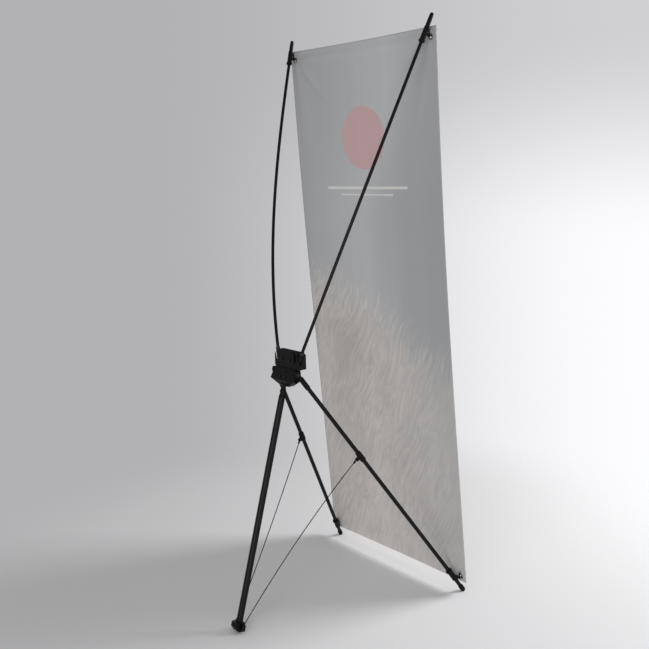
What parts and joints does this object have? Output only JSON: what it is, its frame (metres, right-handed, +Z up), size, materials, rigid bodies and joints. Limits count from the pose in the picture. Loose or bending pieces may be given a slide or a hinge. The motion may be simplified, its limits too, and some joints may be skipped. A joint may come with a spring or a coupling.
{
  "type": "x banner stand",
  "caption": "Folding banner stand: bent upper rods and straight legs fan out from a moulded hub and hold a tall printed sheet by eyelets at its corners.",
  "frame": {"origin": "on the floor under the middle of the stand's bounding box", "axes": "+Z up, -Y towards the viewer of the printed side, +X to the side named left; the rear leg stands towards +Y"},
  "size_m": [0.6, 0.6602, 1.6617],
  "materials": {
    "black_moulding": "satin moulded plastic",
    "black_glass_fibre": "smooth drawn glass fibre",
    "black_painted_tube": "satin powder coat on tube",
    "black_rubber": "matt moulded rubber",
    "black_cord": "braided cord",
    "black_steel": "black oxide on steel, dull",
    "steel": "zinc plated, dull",
    "nickel": "nickel plated, bright",
    "printed_sheet": "printed film, the print faint through the back"
  },
  "bodies": {
    "hub": {"hub_body": "black_moulding", "hub_upper_cover": "black_moulding", "hub_lower_cover": "black_moulding", "hub_upper_screw_left": "black_steel", "hub_upper_screw_right": "black_steel", "hub_lower_screw_left": "black_steel", "hub_lower_screw_right": "black_steel", "hub_centre_screw": "black_steel", "rod_pin_left": "black_steel", "rod_pin_right": "black_steel", "leg_pin_left": "black_steel", "leg_pin_right": "black_steel", "rear_pin": "black_steel"},
    "rod_arm_left": {"rod_knuckle_left": "black_moulding", "rod_ferrule_left": "black_steel", "rod_left": "black_glass_fibre", "rod_cap_left": "black_moulding", "rod_hook_left": "black_moulding", "eyelet_top_left": "nickel"},
    "rod_arm_right": {"rod_knuckle_right": "black_moulding", "rod_ferrule_right": "black_steel", "rod_right": "black_glass_fibre", "rod_cap_right": "black_moulding", "rod_hook_right": "black_moulding", "eyelet_top_right": "nickel"},
    "front_leg_left": {"leg_knuckle_left": "black_moulding", "leg_tube_left": "black_painted_tube", "leg_boot_left": "black_rubber", "leg_hook_left": "black_moulding", "cord_collar_left": "black_moulding", "collar_rivet_left": "steel"},
    "front_leg_right": {"leg_knuckle_right": "black_moulding", "leg_tube_right": "black_painted_tube", "leg_boot_right": "black_rubber", "leg_hook_right": "black_moulding", "cord_collar_right": "black_moulding", "collar_rivet_right": "steel"},
    "rear_leg": {"rear_knuckle": "black_moulding", "rear_tube": "black_painted_tube", "rear_boot": "black_moulding", "rear_pad": "black_rubber", "cord_cleat": "black_moulding", "cleat_screw": "black_steel"},
    "stay_left": {"cord_left": "black_cord"},
    "stay_right": {"cord_right": "black_cord"},
    "banner": {"banner_sheet": "printed_sheet", "eyelet_bottom_left": "nickel", "eyelet_bottom_right": "nickel"}
  },
  "joints": [
    {"name": "front_leg_left_fold", "type": "hinge", "parent": "hub", "child": "front_leg_left", "pos_m": [0.0502, 0.1107, 0.715], "axis": [0.8841, 0.4673, 0], "range_deg": [0, 34.65]},
    {"name": "front_leg_right_fold", "type": "hinge", "parent": "hub", "child": "front_leg_right", "pos_m": [-0.0502, 0.1107, 0.715], "axis": [0.8841, -0.4673, 0], "range_deg": [0, 34.66]},
    {"name": "rear_leg_fold", "type": "hinge", "parent": "hub", "child": "rear_leg", "pos_m": [0, 0.1137, 0.6976], "axis": [-1, 0, 0], "range_deg": [0, 16.07]},
    {"name": "rod_left_fold", "type": "hinge", "parent": "hub", "child": "rod_arm_left", "pos_m": [0.04, 0.1014, 0.7373], "axis": [-0.7153, -0.6783, 0.168], "range_deg": [0, 22.49]},
    {"name": "rod_right_fold", "type": "hinge", "parent": "hub", "child": "rod_arm_right", "pos_m": [-0.04, 0.1014, 0.7373], "axis": [-0.7153, 0.6783, -0.168], "range_deg": [0, 22.49]},
    {"name": "cord_left_swing", "type": "hinge", "parent": "front_leg_left", "child": "stay_left", "pos_m": [0.12731, -0.03054, 0.44903], "axis": [-0.9444, -0.3283, -0.0178], "range_deg": [0, 75.07], "deforming": ["cord_left"]},
    {"name": "cord_right_swing", "type": "hinge", "parent": "front_leg_right", "child": "stay_right", "pos_m": [-0.12731, -0.03054, 0.44903], "axis": [-0.9444, 0.3283, 0.0178], "range_deg": [0, 75.07], "deforming": ["cord_right"]},
    {"name": "banner_gather", "type": "slide", "parent": "hub", "child": "banner", "axis": [0, 0.9608, 0.2772], "range_m": [0, 0.27637], "deforming": ["banner_sheet", "eyelet_bottom_left", "eyelet_bottom_right"]}
  ],
  "couplings": [
    {"joint": "front_leg_right_fold", "follows": "front_leg_left_fold", "ratio": 1},
    {"joint": "rear_leg_fold", "follows": "front_leg_left_fold", "ratio": 0.46361},
    {"joint": "rod_left_fold", "follows": "front_leg_left_fold", "ratio": 0.649},
    {"joint": "rod_right_fold", "follows": "front_leg_left_fold", "ratio": 0.649},
    {"joint": "cord_left_swing", "follows": "front_leg_left_fold", "ratio": 2.1663},
    {"joint": "cord_right_swing", "follows": "front_leg_left_fold", "ratio": 2.1663},
    {"joint": "banner_gather", "follows": "front_leg_left_fold", "m_per_rad": 0.4569}
  ]
}
